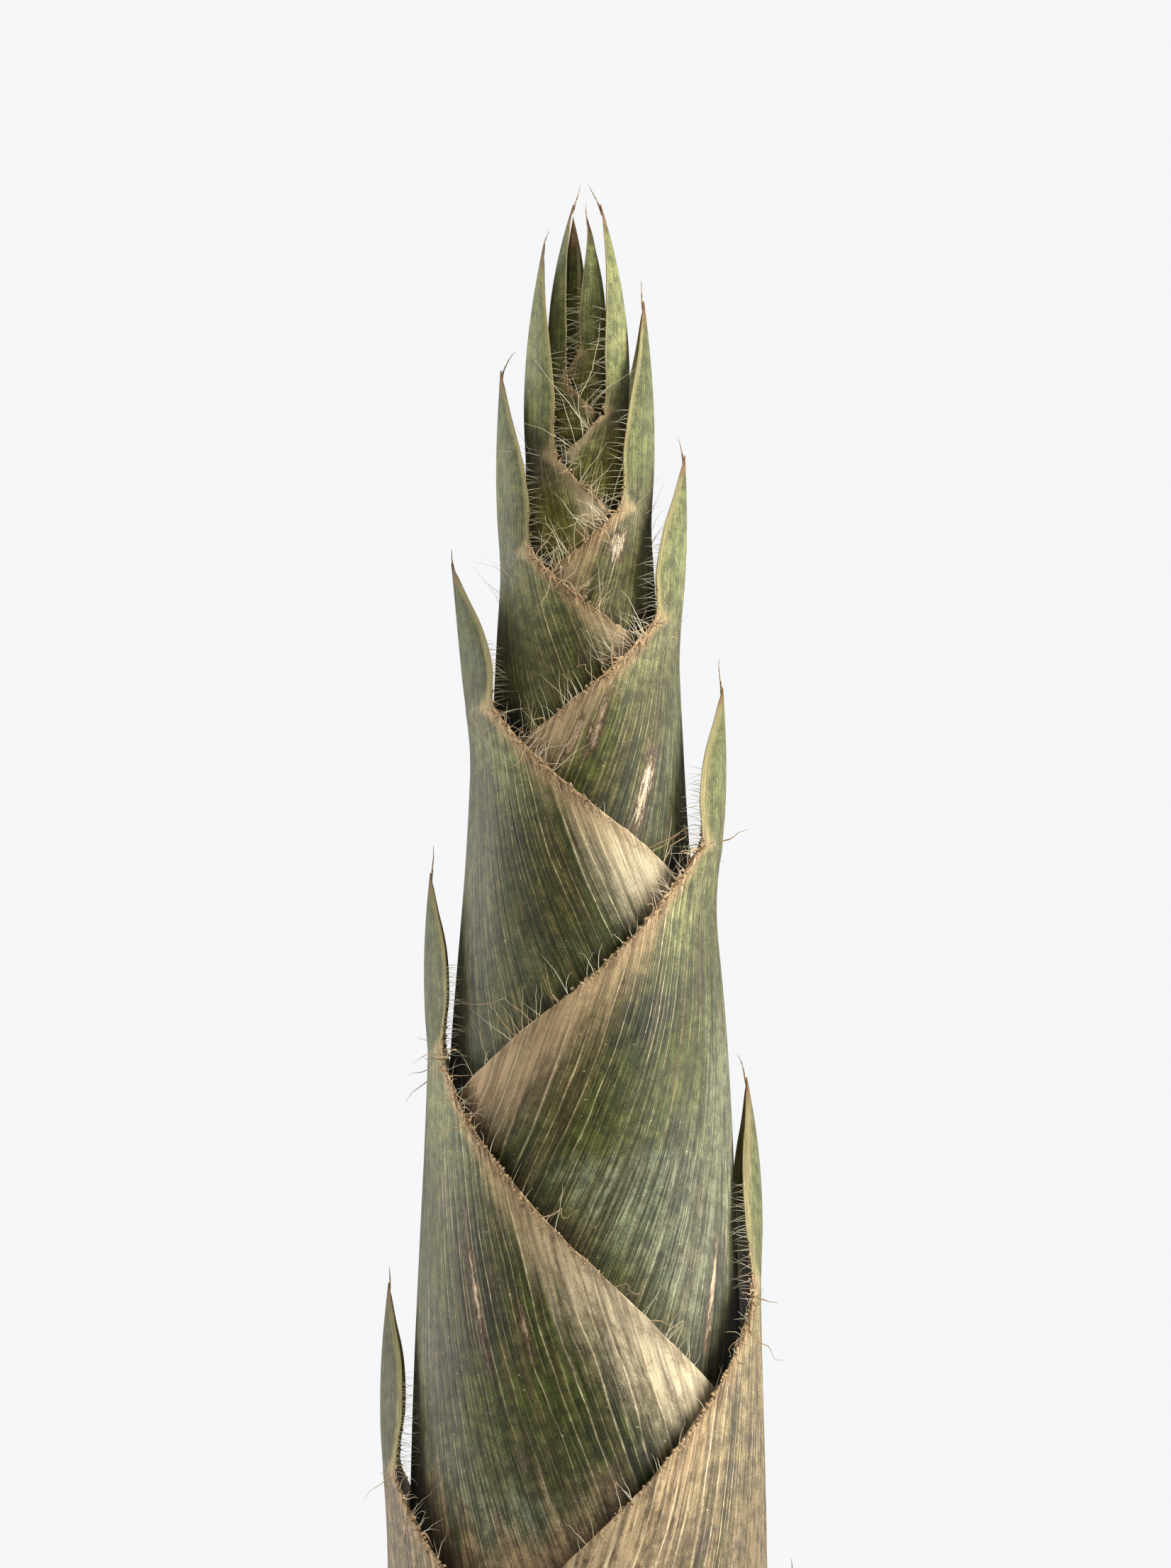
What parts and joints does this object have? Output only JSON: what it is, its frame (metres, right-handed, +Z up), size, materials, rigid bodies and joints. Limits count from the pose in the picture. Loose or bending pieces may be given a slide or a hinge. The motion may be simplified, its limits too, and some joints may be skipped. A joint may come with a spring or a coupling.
{
  "type": "bamboo shoot",
  "caption": "Harvested bamboo shoot standing on its cut base, a tapering stem wrapped in overlapping green culm sheaths with spiky blades.",
  "frame": {"origin": "middle of the level cut face that the shoot stands on", "axes": "+Z up along the shoot to its tips, +X and -X towards the two ranks of blades, -Y the side with the margins' notches in view"},
  "size_m": [0.0564, 0.052, 0.2615],
  "materials": {
    "stem_flesh": "cream fibrous cut flesh with pale root buds, moist and slightly glossy",
    "sheath_low": "dry tan-brown ribbed sheath, matt",
    "sheath_green": "olive green sheath with a grey bloom, pale veins and tan margins, matt",
    "sheath_tip": "fresh yellow-green young sheath and blade, satin"
  },
  "bodies": {
    "root": {"stem": "stem_flesh", "sheath_01": "sheath_low", "sheath_02": "sheath_low", "sheath_03": "sheath_low", "sheath_04": "sheath_low", "sheath_05": "sheath_green", "sheath_06": "sheath_green", "sheath_07": "sheath_green", "sheath_08": "sheath_green", "sheath_09": "sheath_green", "sheath_10": "sheath_green", "sheath_11": "sheath_green", "sheath_12": "sheath_green", "sheath_13": "sheath_tip", "sheath_14": "sheath_tip", "sheath_15": "sheath_tip", "sheath_16": "sheath_tip", "spear_leaf": "sheath_tip"}
  },
  "joints": []
}
